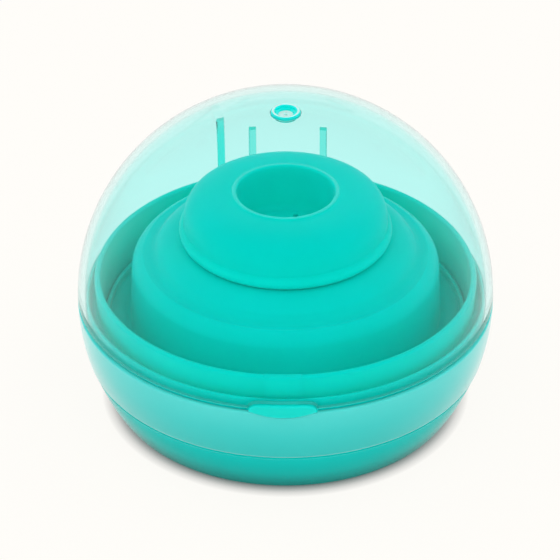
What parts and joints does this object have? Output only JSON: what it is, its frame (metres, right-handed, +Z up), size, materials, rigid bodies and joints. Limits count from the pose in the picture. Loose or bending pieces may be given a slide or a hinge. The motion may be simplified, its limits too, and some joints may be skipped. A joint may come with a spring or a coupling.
{
  "type": "pacifier sterilizer case",
  "caption": "Ball-shaped microwave case for a soother: clear hinged lid over a frosted base, water bowl, lift-out steam tray and a crowned seat with a well for the soother's button.",
  "frame": {"origin": "middle of the flat underside, on the table", "axes": "+Z up, -Y towards the front where the tongue is, +Y towards the hinge, +X to the right seen from the front"},
  "size_m": [0.124, 0.1309, 0.0972],
  "materials": {
    "lid_dome": "clear, faintly aqua polypropylene",
    "vent_ring": "satin teal",
    "hinge_pin": "natural, satin",
    "base_shell": "translucent, frosted inside",
    "base_foot": "teal, fine satin",
    "water_bowl": "teal, fine satin",
    "steam_tray": "teal, fine satin",
    "seat_cap": "teal, fine satin"
  },
  "bodies": {
    "base": {"base_shell": "base_shell", "base_foot": "base_foot", "water_bowl": "water_bowl"},
    "lid": {"lid_dome": "lid_dome", "vent_ring": "vent_ring", "hinge_pin": "hinge_pin"},
    "tray": {"steam_tray": "steam_tray"},
    "cap": {"seat_cap": "seat_cap"}
  },
  "joints": [
    {"name": "lid_hinge", "type": "hinge", "parent": "base", "child": "lid", "pos_m": [0, 0.0654, 0.0345], "axis": [-1, 0, 0], "range_deg": [0, 105]},
    {"name": "tray_lift", "type": "slide", "parent": "base", "child": "tray", "axis": [0, 0, 1], "range_m": [0, 0.01]},
    {"name": "cap_lift", "type": "slide", "parent": "tray", "child": "cap", "axis": [0, 0, 1], "range_m": [0, 0.01]}
  ]
}
